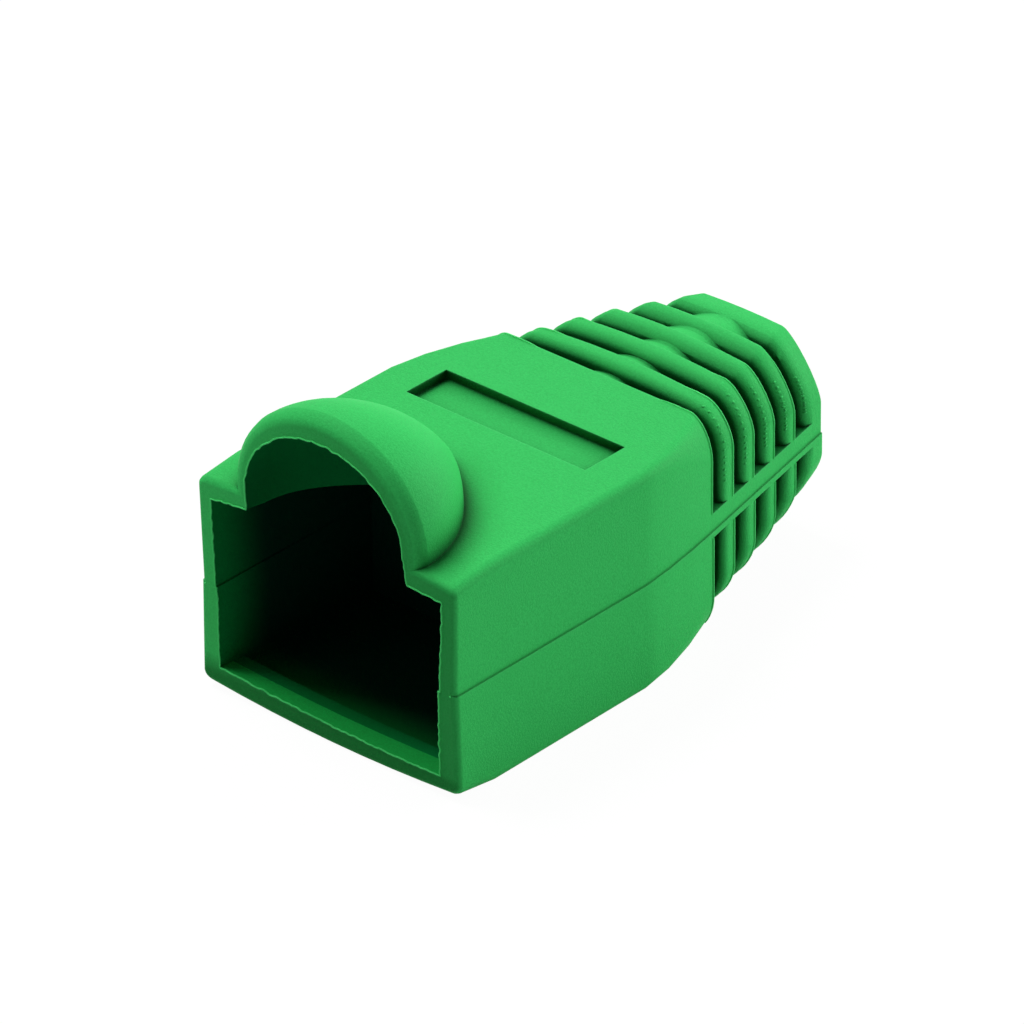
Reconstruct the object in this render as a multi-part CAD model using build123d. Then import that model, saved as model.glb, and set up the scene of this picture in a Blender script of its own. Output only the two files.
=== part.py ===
from build123d import *
from math import cos, radians, sin
import os

# Strain relief boot for a modular plug, moulded in one piece of soft plastic.
# Millimetres. The mouth faces -Y, the cable leaves along +Y, +Z is up.
# Lengths are counted from the mouth. The finished part is then centred on its length.

# The plug that the mouth grips
plug_width = 11.7
plug_height = 8.0
plug_clearance = 0.14
cavity_depth = 9.0
ceiling_flare = 0.2

# Walls round the plug
side_wall = 0.86
floor_wall = 0.6
top_wall = 1.0

# Body, seen from above: a straight front part, then a tapered shoulder
straight_length = 11.1
body_length = 16.03
shoulder_width = 12.0
front_cut = 0.45
shoulder_cut_width = 1.2
shoulder_cut_height = 1.85
shoulder_steps = 3
mouth_bow_length = 2.2
mouth_bow_top = 0.24
mouth_bow_bottom = 0.3
waist = 0.1
rim_radius = 0.25
round_corner = 0.55
rounding_steps = 3
shoulder_ease = 1.3

# Where the mould parts: height above the floor, and how far the lower half stands proud
parting_height = 4.83
parting_step = 0.07

# Lead-in ramp and snap ridge on the floor of the mouth
ramp_length = 0.8
ridge_width = 0.6
ridge_height = 0.3
ridge_bow = 0.17
ridge_root = 0.05

# Hood over the latch
hood_width = 9.9
hood_rise = 4.5
hood_length = 7.25
hood_straight = 0.65
hood_spring = 0.15
hood_rim_radius = 0.6
latch_width = 8.4
latch_rise = 3.46
pocket_length = 6.27
pocket_straight = 1.1

# Shallow bare panel on the top face
panel_width = 9.5
panel_length = 2.35
panel_start = 9.9
panel_depth = 0.4

# Flexible neck: slots, ribs and the end collar. collar_cut_share is the part of the collar's
# height that each corner takes. Below the parting line the corners are cut further by the extra
slot_count = 5
slot_width = 0.75
rib_length = 0.915
collar_length = 1.48
collar_width = 8.3
collar_cut_width = 2.1
collar_cut_share = 0.68
low_cut_extra = 0.45
collar_corner = 0.28
rib_corner = 0.5
neck_droop = 0.8
neck_lift = 0.58
rib_crown = 0.28
collar_crown = 0.06
rib_nose_radius = 0.5
collar_nose_radius = 0.8
spine_above = 0.78
spine_below = 0.27
root_radius = 0.3

# Core tube round the cable. It shows as a hump in every slot: nearly as high as the crest
# where the slot begins, and lower by the gap where the next rib begins
cable_width = 5.0
cable_clearance = 0.1
core_wall = 0.7
hump_gap = 0.06
core_gap_front = 0.42
core_gap_rear = 0.05
funnel_length = 4.4
funnel_width = 7.6

# How far pieces that are joined reach into one another
overlap = 0.5

cavity_width = plug_width + 2 * plug_clearance
cavity_height = plug_height + 2 * plug_clearance
body_width = cavity_width + 2 * side_wall
body_height = floor_wall + cavity_height + top_wall
ceiling_height = floor_wall + cavity_height
bore_radius = cable_width / 2 + cable_clearance
core_radius = bore_radius + core_wall
slot_pitch = slot_width + rib_length
neck_length = slot_count * slot_pitch - rib_length + collar_length
overall_length = body_length + neck_length
hood_base = body_height + hood_spring


def blend(start, end, share):
    """Value between start and end."""
    return start + (end - start) * share


def upright(y):
    """Drawing plane across the boot at y, with X to the right and Z up."""
    return Plane(origin=(0, y, 0), x_dir=(1, 0, 0), z_dir=(0, -1, 0))


def rounding(radius):
    """Pairs of a step back and an inset that together round a front edge."""
    angles = [radians(90 * i / rounding_steps) for i in range(rounding_steps + 1)]
    return [(radius * (1 - cos(angle)), radius * (1 - sin(angle))) for angle in angles]


def half_section(y, upper, half_width, reach, cut_width, cut_height, crown, pinch, fullness, inset):
    """One mould half of the outer section: a flat or crowned face, two sides and soft corners.

    reach is the height of the face above or below the parting line. Equal cuts give a quarter
    of a circle. Otherwise a fullness of 0.55 makes the corner a quarter of an ellipse, and a
    smaller one comes nearer to a plain cut. The corner leaves the crown and meets the side
    without a kink. inset shrinks the whole outline.
    """
    side = 1 if upper else -1
    wide = half_width - inset if upper else half_width + parting_step - inset
    flat = wide + inset - cut_width
    edge = reach - inset - crown
    low = reach - cut_height
    slope = 2 * crown * flat / (flat**2 - crown**2)
    pull = fullness * (wide - flat)

    def at(x, height):
        return (x, parting_height + side * height)

    def corner(sign):
        start, end = at(sign * flat, edge), at(sign * wide, low)
        if cut_width == cut_height:
            bulge = cut_width * (1 - cos(radians(45)))
            return ThreePointArc(start, at(sign * (wide - bulge), edge - bulge), end)
        from_face = at(sign * (flat + pull), edge - slope * pull)
        from_side = at(sign * wide, blend(low, edge, fullness))
        return Bezier(start, from_face, from_side, end)

    foot = wide - pinch
    outline = Polyline(at(-wide, low), at(-foot, 0), at(foot, 0), at(wide, low))
    if crown > 0:
        outline += ThreePointArc(at(flat, edge), at(0, edge + crown), at(-flat, edge))
    else:
        outline += Line(at(flat, edge), at(-flat, edge))
    return upright(y) * make_face(outline + corner(1) + corner(-1))


def body_section(y, upper, inset=0):
    """Outer section of the body at y. The corners open up faster towards the neck."""
    share = max(0, (y - straight_length) / (body_length - straight_length))
    bow = max(0, 1 - y / mouth_bow_length) * (mouth_bow_top if upper else mouth_bow_bottom)
    return half_section(
        y,
        upper,
        half_width=blend(body_width, shoulder_width, share**shoulder_ease) / 2,
        reach=body_height - parting_height if upper else parting_height,
        cut_width=blend(front_cut, shoulder_cut_width, share**2),
        cut_height=blend(front_cut, shoulder_cut_height, share**2) + bow,
        crown=bow,
        pinch=waist * (1 - share),
        fullness=blend(round_corner, rib_corner, share),
        inset=inset,
    )


def neck_reach(y, upper):
    """Height of the neck's crest above or below the parting line."""
    share = (y - body_length) / neck_length
    if upper:
        return body_height - parting_height - neck_droop * share**2
    return parting_height - neck_lift * share**2


def neck_half_width(y):
    """Half width of the tapering neck at y."""
    return blend(shoulder_width, collar_width, (y - body_length) / neck_length) / 2


def neck_section(y, upper, inset=0):
    """Outer section of the ribs and the collar at y."""
    share = (y - body_length) / neck_length
    collar_cut_height = collar_cut_share * neck_reach(overall_length, upper)
    extra = 0 if upper else low_cut_extra
    return half_section(
        y,
        upper,
        half_width=neck_half_width(y),
        reach=neck_reach(y, upper),
        cut_width=blend(shoulder_cut_width, collar_cut_width, share) + extra,
        cut_height=blend(shoulder_cut_height, collar_cut_height, share) + extra,
        crown=blend(rib_crown, collar_crown, share),
        pinch=0,
        fullness=blend(rib_corner, collar_corner, share),
        inset=inset,
    )


def body_half(upper):
    """Outside of one mould half of the body: bowed mouth, straight middle, tapered shoulder."""
    mouth = [body_section(back, upper, inset) for back, inset in rounding(rim_radius)]
    mouth.append(body_section(mouth_bow_length, upper))
    middle = extrude(mouth[-1], straight_length - mouth_bow_length, dir=(0, 1, 0))
    shares = [i / shoulder_steps for i in range(shoulder_steps + 1)]
    shoulder = [body_section(blend(straight_length, body_length, share), upper) for share in shares]
    return loft(mouth, ruled=True) + middle + loft(shoulder, ruled=True)


def neck_ring(start, end):
    """One rib, or the collar: its front edge is round, its rear edge crisp."""
    radius = blend(rib_nose_radius, collar_nose_radius, (start - body_length) / neck_length)
    ring = []
    for upper in (True, False):
        stations = [neck_section(start + back, upper, inset) for back, inset in rounding(radius)]
        ring.append(loft(stations + [neck_section(end, upper)], ruled=True))
    return ring


def neck_rings():
    """All ribs and the end collar, with the rounded corners of the slots in front of them."""
    rings = []
    for index in range(slot_count):
        slot = body_length + index * slot_pitch
        start = slot + slot_width
        last = index == slot_count - 1
        rings.append(slot_root(slot))
        rings += neck_ring(start, overall_length if last else start + rib_length)
    return rings


def slot_root(start):
    """Rounded corner at the top front of a lower slot, on both sides of the neck."""
    top = parting_height - spine_below
    bulge = root_radius * (1 - cos(radians(45)))
    low, rear = (start, top - root_radius), (start + root_radius, top)
    arc = ThreePointArc(low, (start + bulge, top - bulge), rear)
    corner = make_face(arc + Polyline(rear, (start, top), low))
    reach = neck_half_width(start + root_radius) + parting_step
    return extrude(Plane.YZ * corner, reach, both=True)


def core_section(y, gap):
    """Upright section of the core: straight sides with a round top and bottom.

    gap is how far the core stays below the crest of the neck.
    """
    top = neck_reach(y, True) - gap - core_radius
    low = neck_reach(y, False) - gap - core_radius
    r = core_radius
    outline = Line((r, -low), (r, top)) + Line((-r, top), (-r, -low))
    outline += ThreePointArc((r, top), (0, top + r), (-r, top))
    outline += ThreePointArc((-r, -low), (0, -low - r), (r, -low))
    return upright(y) * Pos(0, parting_height) * make_face(outline)


def core():
    """Tube that carries the cable through the slots, still solid."""
    sections = [core_section(body_length - overlap, core_gap_front)]
    for index in range(slot_count):
        start = body_length + index * slot_pitch
        low = blend(core_gap_front, core_gap_rear, (start - body_length) / neck_length)
        sections += [core_section(start, hump_gap), core_section(start + slot_width, low)]
    sections.append(core_section(overall_length - collar_length / 2, core_gap_rear))
    return loft(sections, ruled=True)


def spine_half(upper):
    """Web along each side of the neck that joins the ribs at the parting line."""
    height = spine_above if upper else spine_below
    proud = 0 if upper else parting_step
    z = parting_height + (height if upper else -height) / 2
    faces = []
    for y in (body_length - overlap, body_length, overall_length - collar_length / 2):
        width = 2 * (neck_half_width(max(y, body_length)) + proud)
        faces.append(upright(y) * Pos(0, z) * Rectangle(width, height))
    return loft(faces, ruled=True)


def dome(half_width, rise, length, straight, rim, low):
    """Half dome over the latch: a parabola in plan, turned about its axis, on upright legs."""
    steps = rounding(rim) if rim > 0 else [(0, 0)]
    front = [(half_width - inset, back) for back, inset in steps]
    side = Polyline((0, length), (0, 0), *front, (half_width, straight))
    tip = Bezier((half_width, straight), (half_width, (straight + length) / 2), (0, length))
    plan = make_face(side + tip)
    crest = scale(revolve(plan, Axis.Y, 360), by=(1, 1, rise / half_width))
    crest = crest & Pos(0, length / 2, rise) * Box(4 * half_width, 2 * length, 2 * rise)
    legs = extrude(plan + mirror(plan, Plane.YZ), low - hood_base)
    return Pos(0, 0, hood_base) * (crest + legs)


def hood():
    """Outside of the hood, rooted halfway into the top wall."""
    rise = hood_rise - hood_spring
    root = body_height - top_wall / 2
    return dome(hood_width / 2, rise, hood_length, hood_straight, hood_rim_radius, root)


def pocket():
    """Room for the latch under the hood, open to the room for the plug."""
    rise = latch_rise - hood_spring
    return dome(latch_width / 2, rise, pocket_length, pocket_straight, 0, ceiling_height - overlap)


def room():
    """Room for the rear of the plug. Its lower half is narrower by the parting step."""
    upper = cavity_width / 2
    lower = upper - parting_step
    top = upper + ceiling_flare
    split = parting_height
    right = [(lower, floor_wall), (lower, split), (upper, split), (top, ceiling_height)]
    left = [(-x, z) for x, z in reversed(right)]
    outline = make_face(Polyline(*right, *left, close=True))
    return extrude(upright(-overlap) * outline, cavity_depth + overlap, dir=(0, 1, 0))


def cable_way():
    """Funnel from the room to the bore, and the round bore itself."""
    length = overall_length - cavity_depth + overlap
    on_end = (Align.CENTER, Align.CENTER, Align.MIN)
    funnel = Cone(funnel_width / 2, bore_radius, funnel_length, align=on_end)
    bore = Cylinder(bore_radius, length, align=on_end)
    return Pos(0, cavity_depth, parting_height) * Rot(-90, 0, 0) * (funnel + bore)


def snap_ridge():
    """Ramp and low ridge across the floor, just inside the mouth."""
    half = cavity_width / 2
    low = floor_wall - ridge_root

    def band(y, height):
        ends = height + ridge_bow
        outline = Polyline((-half, ends), (-half, low), (half, low), (half, ends))
        return upright(y) * make_face(outline + ThreePointArc((half, ends), (0, height), (-half, ends)))

    crest = floor_wall + ridge_height
    back = ramp_length + ridge_width
    bands = [(0, floor_wall), (ramp_length, crest), (back, crest), (back + ridge_height, floor_wall)]
    return loft([band(y, height) for y, height in bands], ruled=True)


def panel():
    """Shallow sunk panel on the top face."""
    centre = panel_start + panel_length / 2
    return Pos(0, centre, body_height) * Box(panel_width, panel_length, 2 * panel_depth)


def boot():
    """The whole moulding."""
    outside = body_half(True) + body_half(False) + hood() + core() + spine_half(True) + spine_half(False)
    for half in neck_rings():
        outside += half
    return outside - room() - cable_way() - pocket() - panel() + snap_ridge()


os.makedirs("parts", exist_ok=True)
piece = Pos(0, -overall_length / 2, 0) * boot()
export_step(piece, "parts/boot.step")
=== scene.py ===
import bpy
import bmesh
from math import cos, radians, sin
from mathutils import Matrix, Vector, noise


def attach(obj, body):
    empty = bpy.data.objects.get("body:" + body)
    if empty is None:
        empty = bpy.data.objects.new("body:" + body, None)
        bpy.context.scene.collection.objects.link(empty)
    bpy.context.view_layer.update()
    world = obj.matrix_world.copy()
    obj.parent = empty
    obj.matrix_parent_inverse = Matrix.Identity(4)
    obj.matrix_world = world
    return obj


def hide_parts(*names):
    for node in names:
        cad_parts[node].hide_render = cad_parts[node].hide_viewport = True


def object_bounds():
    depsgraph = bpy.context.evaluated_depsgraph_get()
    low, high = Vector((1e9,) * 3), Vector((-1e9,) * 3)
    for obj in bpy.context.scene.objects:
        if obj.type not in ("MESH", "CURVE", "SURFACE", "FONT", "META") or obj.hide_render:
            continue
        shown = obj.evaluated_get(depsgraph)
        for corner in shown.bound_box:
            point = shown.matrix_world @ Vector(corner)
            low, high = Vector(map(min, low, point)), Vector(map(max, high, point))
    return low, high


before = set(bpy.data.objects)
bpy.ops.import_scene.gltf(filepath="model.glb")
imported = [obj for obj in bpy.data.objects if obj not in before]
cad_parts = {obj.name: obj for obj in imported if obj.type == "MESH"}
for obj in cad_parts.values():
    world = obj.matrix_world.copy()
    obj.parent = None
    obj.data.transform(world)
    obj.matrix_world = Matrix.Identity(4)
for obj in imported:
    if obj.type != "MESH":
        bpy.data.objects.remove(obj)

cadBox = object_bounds()
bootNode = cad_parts["boot"]
noise.seed_set(7)  # the beads and lumps come out the same each run
print("frame loaded")


def deselectAll():
    bpy.ops.object.select_all(action="DESELECT")


def makeActive(piece):
    deselectAll()
    piece.select_set(True)
    bpy.context.view_layer.objects.active = piece


def within(point, box):
    low, high = box
    return all(low[axis] < point[axis] < high[axis] for axis in range(3))


# small helpers for node trees: a value is either a number, a colour or another node's output

def feed(tree, socket, value):
    if isinstance(value, bpy.types.NodeSocket):
        tree.links.new(value, socket)
    else:
        socket.default_value = value


def newMaterial(name):
    material = bpy.data.materials.new(name)
    material.use_nodes = True
    tree = material.node_tree
    tree.nodes.clear()
    return material, tree, tree.nodes.new("ShaderNodeOutputMaterial")


def objectPlace(tree):
    place = tree.nodes.new("ShaderNodeTexCoord")
    place.name = "place"
    return place.outputs["Object"]


def splitPlace(tree, place):
    apart = tree.nodes.new("ShaderNodeSeparateXYZ")
    tree.links.new(place, apart.inputs[0])
    return apart.outputs["X"], apart.outputs["Y"], apart.outputs["Z"]


def noisePattern(tree, name, place, scale, detail=2.0, roughness=0.5):
    pattern = tree.nodes.new("ShaderNodeTexNoise")
    pattern.name = name
    pattern.inputs["Scale"].default_value = scale
    pattern.inputs["Detail"].default_value = detail
    pattern.inputs["Roughness"].default_value = roughness
    tree.links.new(place, pattern.inputs["Vector"])
    return pattern.outputs["Fac"]


def mixColour(tree, share, first, second):
    mix = tree.nodes.new("ShaderNodeMix")
    mix.data_type = "RGBA"
    feed(tree, mix.inputs["Factor"], share)
    feed(tree, mix.inputs["A"], first)
    feed(tree, mix.inputs["B"], second)
    return mix.outputs["Result"]


def mapRange(tree, value, start, end, atStart=0.0, atEnd=1.0, kind="LINEAR"):
    ramp = tree.nodes.new("ShaderNodeMapRange")
    ramp.interpolation_type = kind
    ramp.inputs["From Min"].default_value = start
    ramp.inputs["From Max"].default_value = end
    ramp.inputs["To Min"].default_value = atStart
    ramp.inputs["To Max"].default_value = atEnd
    tree.links.new(value, ramp.inputs["Value"])
    return ramp.outputs["Result"]


def combine(tree, operation, first, second, third=None):
    step = tree.nodes.new("ShaderNodeMath")
    step.operation = operation
    feed(tree, step.inputs[0], first)
    feed(tree, step.inputs[1], second)
    if third is not None:
        step.inputs[2].default_value = third
    return step.outputs[0]


def enclosure(tree, reach, inside):
    # how open the surface is within reach: 1 on a free surface, less in a corner
    hidden = tree.nodes.new("ShaderNodeAmbientOcclusion")
    hidden.samples = 8
    hidden.inside = inside
    hidden.only_local = True
    hidden.inputs["Distance"].default_value = reach
    return hidden.outputs["AO"]


def eyeRays(tree):
    # the camera, glossy and transmission rays see the white background
    rays = tree.nodes.new("ShaderNodeLightPath")
    seen = combine(tree, "MAXIMUM", rays.outputs["Is Camera Ray"], rays.outputs["Is Glossy Ray"])
    return combine(tree, "MAXIMUM", seen, rays.outputs["Is Transmission Ray"])


def mixShaders(tree, share, first, second, output):
    mixed = tree.nodes.new("ShaderNodeMixShader")
    for socket, source in zip(mixed.inputs, (share, first.outputs[0], second.outputs[0])):
        tree.links.new(source, socket)
    tree.links.new(mixed.outputs[0], output.inputs["Surface"])


greenValues = {
    "green": (0.040, 0.575, 0.118, 1.0),
    "paleGreen": (0.047, 0.605, 0.137, 1.0),
    "mottleScale": 900.0,  # slow change of colour through the moulding
    "grainDark": (0.010, 0.30, 0.044, 1.0),
    "grainPale": (0.080, 0.88, 0.215, 1.0),
    "grainScale": 11000.0,  # spark-eroded mould grain
    "grainShare": 0.5,
    "grainRoughness": 0.7,
    "grainStrength": 0.7,
    "grainHeight": 0.000030,
    "detail": 3.0,
    # painted shade for slots and corners
    "creviceShadeGreen": (0.0002, 0.062, 0.009, 1.0),
    "creviceReach": 0.0020,
    "creviceRange": (0.51, 0.94),  # openness at which a corner is darkest and no longer dark
    "ledge": 0.00483,  # height of the parting line, whose low ledge stays light, free of the painted crevice shade
    "ledgeReach": 0.00010,
    "ledgeLight": 0.72,
    # painted shade on the mouth's rim, below and at the right
    "rimShade": (0.0003, 0.105, 0.012, 1.0),
    "front": -0.01246,
    "frontFade": 0.00012,
    "shadeBelow": 0.72,
    "belowRange": (0.0008, 0.0017),
    "shadeRight": 0.50,
    "rightRange": (-0.006, 0.006),
    # painted highlight along crisp outer edges
    "edgeHighlightGreen": (0.140, 0.88, 0.300, 1.0),
    "edgeReach": 0.00011,
    "edgeShare": 0.12,
    "edgeRange": (0.55, 0.97),
    "softEdge": 0.00009,
    "specular": 0.04,
    "roughness": (0.49, 0.63),
}


def greenColour(tree, place, grain):
    v = greenValues
    across, along, up = splitPlace(tree, place)
    mottle = noisePattern(tree, "mottle", place, v["mottleScale"], v["detail"])
    tint = mixColour(tree, mottle, v["green"], v["paleGreen"])
    speckle = mixColour(tree, grain, v["grainDark"], v["grainPale"])
    grained = mixColour(tree, v["grainShare"], tint, speckle)

    openness = enclosure(tree, v["creviceReach"], False)  # painted shade: deep slots and corners are painted darker from ambient occlusion
    lit = mapRange(tree, openness, *v["creviceRange"])
    nearLedge = combine(tree, "COMPARE", up, v["ledge"], v["ledgeReach"])
    ledgeLit = combine(tree, "MULTIPLY", nearLedge, v["ledgeLight"])
    lit = combine(tree, "MAXIMUM", lit, ledgeLit)
    shaded = mixColour(tree, lit, v["creviceShadeGreen"], grained)

    # painted shade: the rim is darker below and at the right
    onFront = mapRange(tree, along, v["front"], v["front"] + v["frontFade"], 1.0, 0.0)
    below = mapRange(tree, up, *v["belowRange"], v["shadeBelow"], 0.0)
    beside = mapRange(tree, across, *v["rightRange"], 0.0, v["shadeRight"])
    most = combine(tree, "MAXIMUM", below, beside)
    rimmed = mixColour(tree, combine(tree, "MULTIPLY", onFront, most), shaded, v["rimShade"])

    fullness = enclosure(tree, v["edgeReach"], True)  # painted highlight: crisp outer edges are paler
    edgeHighlightShare = mapRange(tree, fullness, *v["edgeRange"], v["edgeShare"], 0.0)
    return mixColour(tree, edgeHighlightShare, rimmed, v["edgeHighlightGreen"])


def greenPlastic():
    v = greenValues
    material, tree, output = newMaterial("greenPlastic")
    shader = tree.nodes.new("ShaderNodeBsdfPrincipled")
    shader.name = "plastic"
    shader.inputs["Specular IOR Level"].default_value = v["specular"]
    place = objectPlace(tree)
    grain = noisePattern(tree, "grain", place, v["grainScale"], v["detail"], v["grainRoughness"])
    feed(tree, shader.inputs["Base Color"], greenColour(tree, place, grain))
    feed(tree, shader.inputs["Roughness"], mapRange(tree, grain, 0.0, 1.0, *v["roughness"]))
    softEdge = tree.nodes.new("ShaderNodeBevel")
    softEdge.samples = 6
    softEdge.inputs["Radius"].default_value = v["softEdge"]
    bump = tree.nodes.new("ShaderNodeBump")
    bump.inputs["Strength"].default_value = v["grainStrength"]
    bump.inputs["Distance"].default_value = v["grainHeight"]
    feed(tree, bump.inputs["Height"], grain)
    feed(tree, bump.inputs["Normal"], softEdge.outputs["Normal"])
    feed(tree, shader.inputs["Normal"], bump.outputs["Normal"])
    feed(tree, output.inputs["Surface"], shader.outputs["BSDF"])
    return material


# painted shade inside the mouth, the room and the latch pocket
innerValues = {
    "nearMouth": (0.004, 0.24, 0.050, 1.0),
    "deepInside": (0.0018, 0.034, 0.018, 1.0),
    "wallRange": (-0.01246, -0.00926),  # from the mouth's edge to where the walls are darkest
    "floorGreen": (0.003, 0.145, 0.022, 1.0),
    "floorRange": (-0.01160, -0.00860),
    "floorTop": (0.0008, 0.0010),  # the floor's colour gives way to the walls' between these heights
    "underHoodShade": (0.003, 0.16, 0.036, 1.0),
    "ceiling": (0.00878, 0.00888),
    "specular": 0.0,
}


def shadedInsidePlastic():
    # painted shade: same plastic, darker with depth behind the mouth and dim under the hood
    v = innerValues
    material = bpy.data.materials["greenPlastic"].copy()
    material.name = "shadedInsidePlastic"
    tree = material.node_tree
    across, along, up = splitPlace(tree, tree.nodes["place"].outputs["Object"])
    wallDepth = mapRange(tree, along, *v["wallRange"], kind="SMOOTHSTEP")
    walls = mixColour(tree, wallDepth, v["nearMouth"], v["deepInside"])
    floorDepth = mapRange(tree, along, *v["floorRange"], kind="SMOOTHSTEP")
    ground = mixColour(tree, floorDepth, v["floorGreen"], v["deepInside"])
    room = mixColour(tree, mapRange(tree, up, *v["floorTop"]), ground, walls)
    hood = mixColour(tree, mapRange(tree, up, *v["ceiling"]), room, v["underHoodShade"])
    shader = tree.nodes["plastic"]
    shader.inputs["Specular IOR Level"].default_value = v["specular"]
    feed(tree, shader.inputs["Base Color"], hood)
    return material


lipValues = {
    "lipShadeGreen": (0.014, 0.44, 0.072, 1.0),
    "grainRange": (0.1, 0.6),
}


def shadedLipPlastic():
    # painted shade: the sloping lip just inside the mouth is a darker copy of the plastic, painted
    # lighter than the crevices
    v = lipValues
    material = bpy.data.materials["greenPlastic"].copy()
    material.name = "shadedLipPlastic"
    tree = material.node_tree
    spread = mapRange(tree, tree.nodes["grain"].outputs["Fac"], *v["grainRange"])
    tint = mixColour(tree, spread, greenValues["grainDark"], v["lipShadeGreen"])
    feed(tree, tree.nodes["plastic"].inputs["Base Color"], tint)
    return material


zoneValues = {  # corners of the boxes that hold each zone's faces, and the bore
    "lip": ((-0.0062, -0.01245, 0.0005), (0.0062, -0.0118, 0.0013)),
    "room": ((-0.0063, -0.0200, 0.0005), (0.0063, -0.0030, 0.0090)),
    "pocket": ((-0.00432, -0.0200, 0.0085), (0.00432, -0.0060, 0.0200)),
    "pocketTilt": 0.20,  # outer faces of the hood look up more steeply than this
    "boreStart": -0.0035,
    "boreHeight": 0.00483,
    "boreReach": 0.0040,
    "endSkin": 0.00002,
    "ceiling": 0.0089,
    "roomMiddle": 0.0048,
    "pocketMiddle": 0.0100,
}


def isInside(face):
    # faces of the room, funnel, bore and latch pocket look towards the middle of the hole
    v = zoneValues
    spot, normal = face.center, face.normal
    if not cadBox[0].y + v["endSkin"] <= spot.y <= cadBox[1].y - v["endSkin"]:
        return False
    height = v["roomMiddle"] if spot.z < v["ceiling"] else v["pocketMiddle"]
    looksIn = normal.dot(Vector((0, spot.y, height)) - spot) > 0.0
    inPocket = within(spot, v["pocket"]) and normal.z < v["pocketTilt"]
    fromAxis = Vector((spot.x, 0, spot.z - v["boreHeight"])).length
    inBore = spot.y >= v["boreStart"] and fromAxis < v["boreReach"]
    return within(spot, v["room"]) or (inPocket or inBore) and looksIn


def paintInside(piece):
    piece.data.materials.append(shadedInsidePlastic())
    piece.data.materials.append(shadedLipPlastic())
    for face in piece.data.polygons:
        if within(face.center, zoneValues["lip"]):
            face.material_index = 2
        elif isInside(face):
            face.material_index = 1
    print("inside and lip painted")


def findPatches(work):
    # faces that hang together before merging belong to one surface of the solid
    patch = work.faces.layers.int.new("patch")
    areas = []
    for face in work.faces:
        if face.tag:
            continue
        group, waiting = [], [face]
        face.tag = True
        while waiting:
            current = waiting.pop()
            group.append(current)
            for edge in current.edges:
                for other in edge.link_faces:
                    if not other.tag:
                        other.tag = True
                        waiting.append(other)
        for member in group:
            member[patch] = len(areas)
        areas.append(sum(member.calc_area() for member in group))
    return areas


def patchNormals(piece, areas):
    # at each corner the largest surface that meets there smoothly sets the direction
    work = bmesh.new()
    work.from_mesh(piece.data)
    patch = work.faces.layers.int["patch"]
    normals = [None] * len(piece.data.loops)
    for point in work.verts:
        waiting = set(point.link_loops)
        while waiting:
            fan, rim = [], [waiting.pop()]
            while rim:
                loop = rim.pop()
                fan.append(loop)
                for edge in (loop.edge, loop.link_loop_prev.edge):
                    if not edge.smooth:
                        continue
                    for near in [w for w in waiting if w.face in edge.link_faces]:
                        waiting.discard(near)
                        rim.append(near)
            sums = {}
            for loop in fan:
                number = loop.face[patch]
                sums.setdefault(number, Vector())
                sums[number] += loop.face.normal * loop.calc_angle()
            total = Vector()
            for number, way in sums.items():
                total += way.normalized() * areas[number] ** 2
            for loop in fan:
                normals[loop.index] = total.normalized()
    work.free()
    piece.data.normals_split_custom_set(normals)


fitValues = {
    "frontSkin": 0.00001,
    "lipEdge": ((-0.0060, -0.0200, 0.0005), (0.0060, 0.0200, 0.0008)),
    "lipLift": 0.00028,  # the rim is thicker below the mouth, most at the left
    "lipTilt": 0.020,
    "hood": ((-0.0200, -0.0200, 0.0100), (0.0200, -0.0050, 0.0200)),
    "hoodLift": 0.00018,
    "hoodBlend": 0.0030,
    "walls": ((-0.0200, -0.0200, 0.0005), (0.0200, -0.0030, 0.0088)),
    "wall": 0.00595,  # half width of the mouth behind its rim
    "wallReach": 0.00006,
    "corners": {  # where a corner of the mouth lies and how far it moves, in millimetres
        (-6.17, 8.88): (0.10, -0.05),
        (-4.22, 8.88): (0.03, 0.20),
        (4.22, 8.88): (0.18, 0.08),
    },
    "cornerReach": (0.12, 0.05),
}


def moveCorner(spot):
    v = fitValues
    for (across, up), (right, rise) in v["corners"].items():
        aside, above = abs(spot.x * 1000 - across), abs(spot.z * 1000 - up)
        if aside < v["cornerReach"][0] and above < v["cornerReach"][1]:
            spot.x += right / 1000
            spot.z += rise / 1000


def fitMouth(work):
    # small moves that bring the rim, lip and hood onto the photograph's outline
    v = fitValues
    for point in work.verts:
        spot = point.co
        onFront = spot.y < cadBox[0].y + v["frontSkin"]
        onWall = abs(abs(spot.x) - v["wall"]) < v["wallReach"] and within(spot, v["walls"])
        if onFront and within(spot, v["lipEdge"]):
            spot.z += v["lipLift"] - v["lipTilt"] * spot.x
        elif within(spot, v["hood"]):
            spot.z += v["hoodLift"] * min(1.0, (spot.z - v["hood"][0][2]) / v["hoodBlend"])
        elif not onFront and onWall:
            spot.x = v["wall"] if spot.x > 0 else -v["wall"]
        elif onFront:
            moveCorner(spot)


shellValues = {
    "mergeDistance": 0.0000005,
    "roundAngle": 42.0,  # outward bends up to here are rounded edges
    "hollowAngle": 15.0,  # inward bends up to here are smooth
    "taperStart": -0.00136,
    "taperEase": 0.0008,  # length over which the side turns into the taper
}


def easeTaper(work):
    # a cut behind the start of the taper keeps the turn of the shading short
    cut = shellValues["taperStart"] + shellValues["taperEase"]
    everything = work.verts[:] + work.edges[:] + work.faces[:]
    bmesh.ops.bisect_plane(work, geom=everything, plane_co=(0, cut, 0), plane_no=(0, 1, 0))


def markEdges(work):
    v = shellValues
    patch = work.faces.layers.int["patch"]
    for edge in work.edges:
        first, second = edge.link_faces
        limit = v["roundAngle"] if edge.is_convex else v["hollowAngle"]
        edge.smooth = first[patch] == second[patch] or edge.calc_face_angle() < radians(limit)


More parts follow.
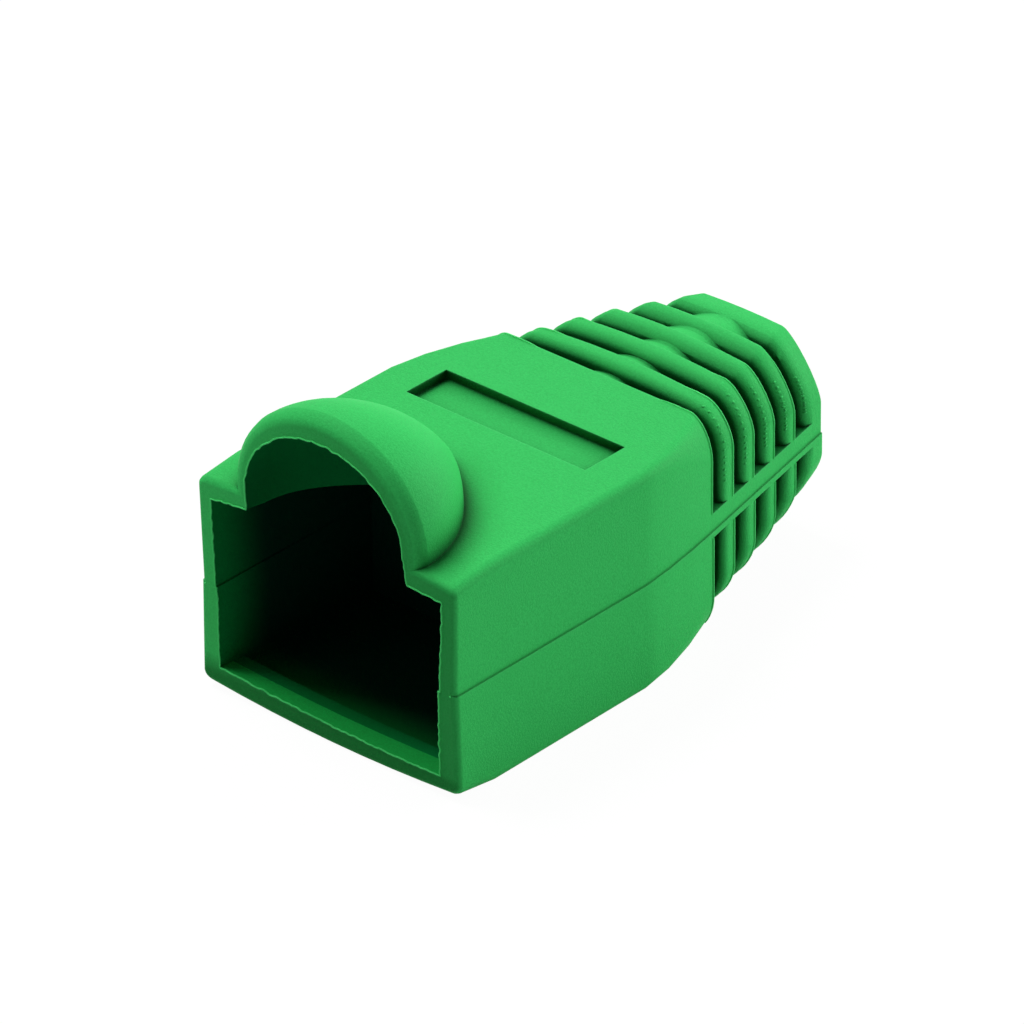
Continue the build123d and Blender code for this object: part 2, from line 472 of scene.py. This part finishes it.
def bootShell(material):
    merge = shellValues["mergeDistance"]
    mesh = bootNode.data.copy()
    mesh.name = "bootShell"
    piece = bpy.data.objects.new("bootShell", mesh)
    bpy.context.scene.collection.objects.link(piece)
    mesh.materials.clear()
    mesh.materials.append(material)
    work = bmesh.new()
    work.from_mesh(mesh)
    areas = findPatches(work)
    bmesh.ops.remove_doubles(work, verts=work.verts, dist=merge)
    fitMouth(work)
    bmesh.ops.remove_doubles(work, verts=work.verts, dist=merge)
    easeTaper(work)
    work.normal_update()
    markEdges(work)
    work.to_mesh(mesh)
    work.free()
    makeActive(piece)
    bpy.ops.object.shade_smooth(keep_sharp_edges=True)
    paintInside(piece)
    patchNormals(piece, areas)
    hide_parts("boot")
    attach(piece, "root")
    print("boot shell made,", len(piece.data.polygons), "faces,", len(areas), "surfaces")
    return piece


flashPaint = {
    "pale": (0.105, 0.90, 0.235, 1.0),
    "dark": (0.030, 0.62, 0.125, 1.0),
    "patchScale": 900.0,
    "roughness": 0.6,
    "specular": 0.15,
}


def flashHighlightPlastic():
    # thin skin that the mould leaves along an edge; its pale colour is partly painted highlight
    v = flashPaint
    material, tree, output = newMaterial("flashHighlightPlastic")
    shader = tree.nodes.new("ShaderNodeBsdfPrincipled")
    shader.inputs["Roughness"].default_value = v["roughness"]
    shader.inputs["Specular IOR Level"].default_value = v["specular"]
    patches = noisePattern(tree, "patches", objectPlace(tree), v["patchScale"])
    feed(tree, shader.inputs["Base Color"], mixColour(tree, patches, v["dark"], v["pale"]))
    feed(tree, output.inputs["Surface"], shader.outputs["BSDF"])
    return material


# thickness and waviness of the beads; the slots' beads stop short of the humps in the middle
flashValues = {
    "mouth": {
        "radius": 0.000038, "wave": 0.000060, "waveScale": 3600.0,
        "step": 0.00010, "gap": 0.0, "fade": 0.0,
    },
    "slots": {
        "radius": 0.000048, "wave": 0.000012, "waveScale": 2500.0,
        "step": 0.00030, "gap": 0.0026, "fade": 0.0012,
    },
    "lengthwise": 0.3,  # share of the wave along the boot
    "top": 0.0085,  # beads above this height are on the top
    "sink": 1.5,
    "frontSkin": 0.00001,
    "slotStart": 0.0030,
    "slotEnd": 0.0010,  # distance from the end of the boot
    "slotLow": 0.0004,
    "square": 0.99,  # a face across the boot has this much of its normal along it
    "turned": (-0.5, 0.4),  # limits for the other face at the mouth and at the slots
}


def edgeTilts(edge):
    return sorted(face.normal.y for face in edge.link_faces)


def isMouthEdge(edge):
    v = flashValues
    across, other = edgeTilts(edge)
    onFront = all(abs(point.co.y - cadBox[0].y) < v["frontSkin"] for point in edge.verts)
    return onFront and across < -v["square"] and other > v["turned"][0]


def isSlotEdge(edge):
    v = flashValues
    end = cadBox[1].y - v["slotEnd"]
    other, across = edgeTilts(edge)
    spots = [point.co for point in edge.verts]
    inSlots = all(v["slotStart"] < spot.y < end and spot.z > v["slotLow"] for spot in spots)
    return inSlots and edge.is_convex and across > v["square"] and other < v["turned"][1]


def bendBead(work, v):
    top, lengthwise = flashValues["top"], flashValues["lengthwise"]
    for point in work.verts:
        push = noise.noise_vector(point.co * v["waveScale"]) * v["wave"]
        fromMiddle = abs(point.co.x)
        if point.co.z > top and fromMiddle < v["gap"] + v["fade"]:  # the end sinks in
            depth = 1.0 - (fromMiddle - v["gap"]) / v["fade"]
            sink = flashValues["sink"] * v["radius"] * depth
            push -= Vector((0, sink / lengthwise, sink))
        point.co += Vector((push.x, lengthwise * push.y, push.z))


def inGap(edge, gap):
    first, second = edge.verts
    return first.co.z > flashValues["top"] and abs(first.co.x + second.co.x) < 2 * gap


def thinFlash(shell, name, chosen, material):
    # bead of plastic that the mould leaves along an edge
    v = flashValues[name]
    step = v["step"]
    work = bmesh.new()
    work.from_mesh(shell.data)
    spare = [edge for edge in work.edges if not chosen(edge)]
    bmesh.ops.delete(work, geom=work.faces[:], context="FACES_ONLY")
    bmesh.ops.delete(work, geom=spare, context="EDGES")
    for edge in [e for e in work.edges if e.calc_length() > 2 * step]:
        bmesh.ops.subdivide_edges(work, edges=[edge], cuts=int(edge.calc_length() / step))
    middle = [edge for edge in work.edges if inGap(edge, v["gap"])]
    bmesh.ops.delete(work, geom=middle, context="EDGES")
    bendBead(work, v)
    mesh = bpy.data.meshes.new(name + "Flash")
    work.to_mesh(mesh)
    work.free()
    flash = bpy.data.objects.new(name + "Flash", mesh)
    bpy.context.scene.collection.objects.link(flash)
    makeActive(flash)
    bpy.ops.object.convert(target="CURVE")
    flash.data.bevel_depth = v["radius"]
    flash.data.bevel_resolution = 1
    flash.data.use_fill_caps = True
    bpy.ops.object.convert(target="MESH")
    bpy.ops.object.shade_smooth()
    flash.data.materials.clear()
    flash.data.materials.append(material)
    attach(flash, "root")
    print(name, "flash made,", len(flash.data.polygons), "faces")


noseValues = {  # small lumps round the right-hand nose of each rib
    "rows": (0.00468, 0.00635, 0.00801, 0.00968, 0.01132),
    "middle": (0.0030, 0.0060),  # point that each row goes round, seen along the boot
    "turns": (12.0, 66.0),
    "count": 12,
    "radius": 0.000075,
    "size": (1.1, 0.8, 0.45),
    "sizeChange": (0.3, 0.3, 0.15),
    "wave": 0.00005,
    "waveScale": 5000.0,
    "castFrom": 0.01,
}


def noseMarks(shell):
    v = noseValues
    deselectAll()
    bpy.ops.mesh.primitive_ico_sphere_add(subdivisions=2, radius=v["radius"])
    first = bpy.context.object
    firstTurn, lastTurn = v["turns"]
    lumps = []
    for row in v["rows"]:
        for index in range(v["count"]):
            turn = radians(firstTurn + (lastTurn - firstTurn) * index / (v["count"] - 1))
            way = Vector((cos(turn), 0, sin(turn)))
            start = Vector((v["middle"][0], row, v["middle"][1])) + v["castFrom"] * way
            push = noise.noise_vector(start * v["waveScale"])
            hit, spot, normal, number = shell.ray_cast(start + v["wave"] * push, -way)
            lump = first.copy()
            lump.data = first.data.copy()
            bpy.context.scene.collection.objects.link(lump)
            lump.location = spot
            lump.rotation_euler = normal.to_track_quat("Z", "Y").to_euler()
            lump.scale = [s + c * p for s, c, p in zip(v["size"], v["sizeChange"], push)]
            lumps.append(lump)
    bpy.data.objects.remove(first)
    marks = lumps[-1]
    makeActive(marks)
    for lump in lumps:
        lump.select_set(True)
    bpy.ops.object.join()
    marks.name = "noseMarks"
    bpy.ops.object.transform_apply(location=True, rotation=True, scale=True)
    bpy.ops.object.shade_smooth()
    marks.data.materials.append(shell.data.materials[0])
    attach(marks, "root")
    print("nose marks made,", len(marks.data.polygons), "faces")


floorValues = {
    "width": 4.0,
    "paint": (0.68, 0.68, 0.68, 1.0),
    "glow": 1.05,
    "shadowShare": 0.08,  # how much of the boot's shadow shows on the pale floor
}


def paleFloor():
    v = floorValues
    deselectAll()
    bpy.ops.mesh.primitive_plane_add(size=v["width"], location=(0, 0, 0))
    floor = bpy.context.object
    floor.name = "paleFloor"
    material, tree, output = newMaterial("paleFloor")
    paint = tree.nodes.new("ShaderNodeBsdfDiffuse")
    paint.inputs["Color"].default_value = v["paint"]
    white = tree.nodes.new("ShaderNodeEmission")
    white.inputs["Strength"].default_value = v["glow"]
    share = combine(tree, "MULTIPLY", eyeRays(tree), 1.0 - v["shadowShare"])
    mixShaders(tree, share, paint, white, output)
    floor.data.materials.append(material)


worldValues = {
    "ambient": 0.14,  # light that reaches the boot
    "background": 1.0,  # what the camera and reflections see
}


def studioWorld():
    v = worldValues
    world = bpy.data.worlds.new("studioWorld")
    world.use_nodes = True
    tree = world.node_tree
    tree.nodes.clear()
    output = tree.nodes.new("ShaderNodeOutputWorld")
    ambient = tree.nodes.new("ShaderNodeBackground")
    ambient.inputs["Strength"].default_value = v["ambient"]
    white = tree.nodes.new("ShaderNodeBackground")
    white.inputs["Strength"].default_value = v["background"]
    mixShaders(tree, eyeRays(tree), ambient, white, output)
    bpy.context.scene.world = world


# direction from the boot, distance and size in metres, power in watts
lampValues = {
    "topLamp": {"from": (-0.42, -0.08, 0.90), "distance": 0.45, "size": 0.20, "power": 1.34},
    "rearLamp": {"from": (0.40, 0.88, 0.26), "distance": 0.45, "size": 0.22, "power": 1.50},
    "backLamp": {"from": (-0.50, 0.64, 0.55), "distance": 0.45, "size": 0.22, "power": 0.32},
    "frontLamp": {"from": (-0.40, -0.85, 0.38), "distance": 0.45, "size": 0.22, "power": 0.08},
}


def studioLamp(name, v):
    way = Vector(v["from"]).normalized()
    deselectAll()
    bpy.ops.object.light_add(type="AREA", location=way * v["distance"])
    lamp = bpy.context.object
    lamp.name = name
    lamp.data.size = v["size"]
    lamp.data.energy = v["power"]
    lamp.rotation_euler = way.to_track_quat("Z", "Y").to_euler()


cameraValues = {  # from a fit of the moulding's own edges in the photograph
    "place": (0.194846, -0.214373, 0.175040),
    "turn": (59.5905, 0.7443, 42.0504),
    "lens": 295.81,
    "sensor": 36.0,
    "nearest": 0.01,
}


def photoCamera():
    v = cameraValues
    deselectAll()
    turn = [radians(angle) for angle in v["turn"]]
    bpy.ops.object.camera_add(location=v["place"], rotation=turn)
    camera = bpy.context.object
    camera.name = "photoCamera"
    camera.data.lens = v["lens"]
    camera.data.sensor_width = v["sensor"]
    camera.data.clip_start = v["nearest"]
    bpy.context.scene.camera = camera


photoCamera()
for lampName, values in lampValues.items():
    studioLamp(lampName, values)
studioWorld()
paleFloor()
bpy.context.scene.view_settings.view_transform = "Standard"
print("camera, lamps and floor set")

shell = bootShell(greenPlastic())
flashMaterial = flashHighlightPlastic()
thinFlash(shell, "mouth", isMouthEdge, flashMaterial)
thinFlash(shell, "slots", isSlotEdge, flashMaterial)
noseMarks(shell)
